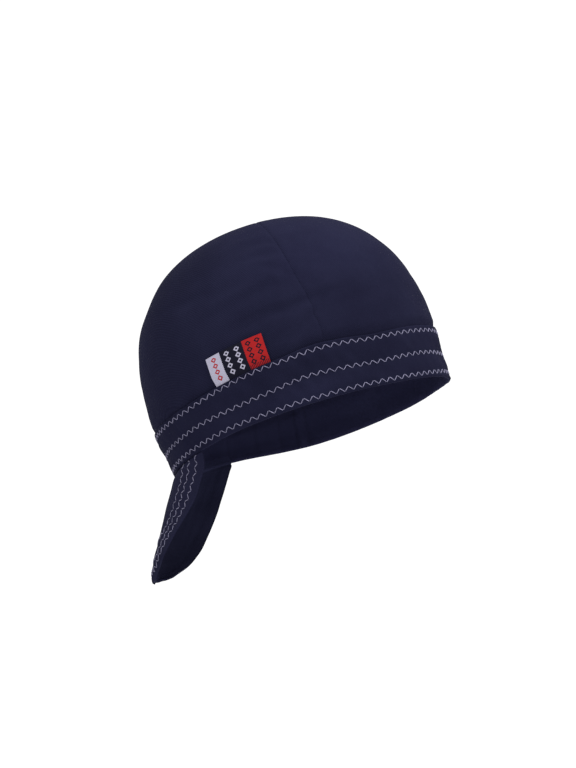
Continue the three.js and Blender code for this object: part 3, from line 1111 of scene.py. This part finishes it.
def label_weave(name):
    material, tree, shader = new_material(name)
    set_inputs(shader, Roughness=0.8, Sheen_Weight=0.01, Specular_IOR_Level=0.06)
    weave = add_node(tree, "ShaderNodeUVMap", uv_map="weave").outputs["UV"]
    parts = add_node(tree, "ShaderNodeSeparateXYZ")
    tree.links.new(weave, parts.inputs[0])
    across = parts.outputs["X"]
    up = parts.outputs["Y"]
    jagged = math_node(tree, "MULTIPLY", math_node(tree, "PINGPONG", up, BORDER_STEP), BORDER_REACH)
    share = math_node(tree, "DIVIDE", math_node(tree, "ADD", across, jagged), LABEL_CUT[0])
    mask = math_node(tree, "MAXIMUM", diamond_marks(tree, across, up),
                     overlock_threads(tree, across, up, share))
    colour = add_node(tree, "ShaderNodeMix", data_type="RGBA")
    tree.links.new(mask, colour.inputs["Factor"])
    tree.links.new(three_blocks(tree, share, LABEL_BLOCKS), colour.inputs["A"])
    tree.links.new(three_blocks(tree, share, LABEL_MARKS), colour.inputs["B"])
    tree.links.new(colour.outputs["Result"], shader.inputs["Base Color"])
    ribs = wave(tree, weave, "Y", Scale=560.0, Distortion=0.4)
    height = math_node(tree, "ADD", ribs, math_node(tree, "MULTIPLY", mask, MARK_HEIGHT))
    add_bump(tree, shader, height, LABEL_RELIEF)
    return material


def add_stage():
    bm = bmesh.new()
    bmesh.ops.create_grid(bm, x_segments=2, y_segments=2, size=FLOOR_HALF)
    for vert in bm.verts:
        vert.co.z = FLOOR_LEVEL
    floor = finished("floor", bm, Vector((0, 0, -10)))
    material, tree, shader = new_material("white_paper")
    set_inputs(shader, Roughness=0.95, Specular_IOR_Level=0.0)
    shader.inputs["Base Color"].default_value = FLOOR_TONE
    shader.inputs["Emission Color"].default_value = (1, 1, 1, 1)
    away = add_node(tree, "ShaderNodeVectorMath", operation="LENGTH")
    tree.links.new(add_node(tree, "ShaderNodeTexCoord").outputs["Object"], away.inputs[0])
    glow = add_node(tree, "ShaderNodeMapRange")
    for socket, value in FLOOR_GLOW.items():
        glow.inputs[socket].default_value = value
    tree.links.new(away.outputs["Value"], glow.inputs["Value"])
    tree.links.new(glow.outputs["Result"], shader.inputs["Emission Strength"])
    floor.data.materials.append(material)
    world = bpy.data.worlds.new("studio")
    world.use_nodes = True
    tree = world.node_tree
    around = tree.nodes["Background"]
    set_inputs(around, Color=(1, 1, 1, 1), Strength=ROOM_LIGHT)
    backdrop = add_node(tree, "ShaderNodeBackground")
    set_inputs(backdrop, Color=(1, 1, 1, 1), Strength=BACKDROP_LIGHT)
    seen = add_node(tree, "ShaderNodeLightPath").outputs["Is Camera Ray"]
    either = add_node(tree, "ShaderNodeMixShader")
    tree.links.new(seen, either.inputs["Fac"])
    tree.links.new(around.outputs["Background"], either.inputs[1])
    tree.links.new(backdrop.outputs["Background"], either.inputs[2])
    tree.links.new(either.outputs["Shader"], tree.nodes["World Output"].inputs["Surface"])
    bpy.context.scene.world = world
    bpy.context.scene.view_settings.view_transform = "Standard"


def add_light(name, place, aim, size, power):
    data = bpy.data.lights.new(name, "AREA")
    data.size = size
    data.energy = power
    light = bpy.data.objects.new(name, data)
    light.location = place
    light.rotation_mode = "QUATERNION"
    light.rotation_quaternion = (Vector(aim) - Vector(place)).to_track_quat("-Z", "Y")
    bpy.context.scene.collection.objects.link(light)


def add_camera():
    toward = Vector((math.sin(CAMERA_TURN) * math.cos(CAMERA_RISE),
                     -math.cos(CAMERA_TURN) * math.cos(CAMERA_RISE),
                     math.sin(CAMERA_RISE)))
    right = Vector((math.cos(CAMERA_TURN), math.sin(CAMERA_TURN), 0))
    target = Vector((0, 0, CAMERA_TARGET_HEIGHT)) + CAMERA_TARGET_SIDE * right
    data = bpy.data.cameras.new("camera")
    data.sensor_width = 36
    data.lens = CAMERA_LENS
    data.clip_start = 0.01
    data.clip_end = 30
    camera = bpy.data.objects.new("camera", data)
    camera.location = target + CAMERA_DISTANCE * toward
    camera.rotation_mode = "QUATERNION"
    camera.rotation_quaternion = (-toward).to_track_quat("-Z", "Y")
    bpy.context.scene.collection.objects.link(camera)
    bpy.context.scene.camera = camera


def dress(piece, material):
    piece.data.materials.append(material)
    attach(piece, "root")


crown_cloth = navy_twill("crown_twill", *NAVY)
band_cloth = navy_twill("band_twill", *NAVY)
tail_cloth = navy_twill("tail_twill", *TAIL_NAVY)
tail_reverse = navy_twill("tail_reverse", *TAIL_REVERSE_NAVY, "painted_light_inside")
stitching = stitch_thread("stitch_thread")
woven = label_weave("woven_label")

dome = crown_dome()
front = crown_panel("crown_front_cloth", dome, 1)
back = crown_panel("crown_back_cloth", dome, -1)
dome.free()
for panel, node in ((front, "crown_front"), (back, "crown_back")):
    patches_and_painted_light(panel)
    add_wall(panel, CROWN_WALL)
    dress(panel, crown_cloth)
    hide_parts(node)

band = cloth_grid("band_cloth", BAND_COLUMNS, BAND_ROWS, BAND_CUT, band_place, INSIDE_BAND)
tone_band(band)
add_wall(band, BAND_CLOTH)
dress(band, band_cloth)
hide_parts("band")

tail = cloth_grid("tail_cloth", TAIL_COLUMNS, TAIL_ROWS, TAIL_CUT, tail_place, INSIDE_TAIL, True)
tone_tail(tail)
tail_wall(tail)
dress(tail, tail_cloth)
tail.data.materials.append(tail_reverse)
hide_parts("tail")

label = cloth_grid("label_cloth", LABEL_MESH_COLUMNS, LABEL_MESH_ROWS, LABEL_CUT, label_place,
                   BEHIND_LABEL, True)
add_wall(label, LABEL_CLOTH)
dress(label, woven)
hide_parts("label")

for seed, (row, column) in enumerate(ROWS.items()):
    stitches = band_stitches("band_stitches_" + row, column, seed)
    dress(stitches, stitching)
for number, inset in enumerate(TAIL_ROWS_OF_STITCHES, 1):
    stitches = tail_stitches("tail_stitches_" + str(number), inset, number + 4)
    dress(stitches, stitching)

add_stage()
add_light("top_light", TOP_LIGHT_PLACE, TOP_LIGHT_AIM, TOP_LIGHT_SIZE, TOP_LIGHT_POWER)
add_camera()
